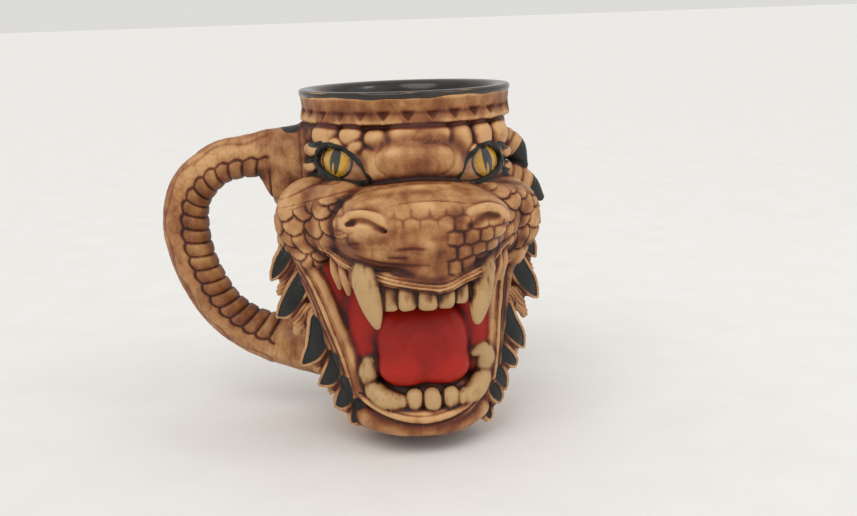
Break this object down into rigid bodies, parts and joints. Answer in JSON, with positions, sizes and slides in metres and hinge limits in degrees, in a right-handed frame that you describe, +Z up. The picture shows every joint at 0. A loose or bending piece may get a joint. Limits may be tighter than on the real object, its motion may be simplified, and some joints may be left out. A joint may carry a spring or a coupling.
{
  "type": "beast head mug",
  "caption": "Hand-painted ceramic mug shaped as a snarling scaled serpent head with open fanged mouth, frill of black spikes and a belly-plated side handle.",
  "frame": {"origin": "centre of the foot, on the surface the mug stands on", "axes": "+Z up, the face looks along -Y, the handle leaves towards -X"},
  "size_m": [0.1705, 0.1213, 0.1465],
  "materials": {
    "bisque_hide": "satin, stained brown in the hollows and tan on the high ground",
    "handle_hide": "satin, stained with dark lines between the belly plates",
    "black_glaze": "gloss glaze",
    "eye_paint": "gloss yellow with a black slit pupil",
    "mouth_red": "satin red",
    "tooth_cream": "satin cream, stained at the roots",
    "spike_paint": "black painted faces with tan striated rims"
  },
  "bodies": {
    "root": {"base_slab": "bisque_hide", "brow_knobs_left": "bisque_hide", "brow_knobs_right": "bisque_hide", "cheek_left": "bisque_hide", "cheek_right": "bisque_hide", "cup_wall": "bisque_hide", "eye_folds_left": "bisque_hide", "eye_folds_right": "bisque_hide", "eyeball_left": "eye_paint", "eyeball_right": "eye_paint", "eyelid_left": "bisque_hide", "eyelid_right": "bisque_hide", "forehead_plate": "bisque_hide", "frill_spike_left_0": "spike_paint", "frill_spike_left_1": "spike_paint", "frill_spike_left_2": "spike_paint", "frill_spike_left_3": "spike_paint", "frill_spike_left_4": "spike_paint", "frill_spike_left_5": "spike_paint", "frill_spike_left_6": "spike_paint", "frill_spike_right_0": "spike_paint", "frill_spike_right_1": "spike_paint", "frill_spike_right_2": "spike_paint", "frill_spike_right_3": "spike_paint", "frill_spike_right_4": "spike_paint", "frill_spike_right_5": "spike_paint", "frill_spike_right_6": "spike_paint", "handle": "handle_hide", "handle_ridge": "handle_hide", "handle_scutes": "handle_hide", "horn_right_lower": "spike_paint", "horn_right_upper": "spike_paint", "inner_glaze": "black_glaze", "jaw_strap_left": "bisque_hide", "jaw_strap_right": "bisque_hide", "lower_canine_left": "tooth_cream", "lower_canine_right": "tooth_cream", "lower_incisors": "tooth_cream", "lower_jaw": "bisque_hide", "lower_lip": "bisque_hide", "lower_molar_left": "tooth_cream", "lower_molar_right": "tooth_cream", "mouth_cord_left": "bisque_hide", "mouth_cord_right": "bisque_hide", "mouth_lining": "mouth_red", "nose_boss": "bisque_hide", "rim_collar": "bisque_hide", "snout": "bisque_hide", "tongue": "mouth_red", "upper_fang_left": "tooth_cream", "upper_fang_right": "tooth_cream", "upper_gum": "bisque_hide", "upper_incisors": "tooth_cream", "upper_lip": "bisque_hide", "upper_side_teeth_left": "tooth_cream", "upper_side_teeth_right": "tooth_cream"}
  },
  "joints": []
}
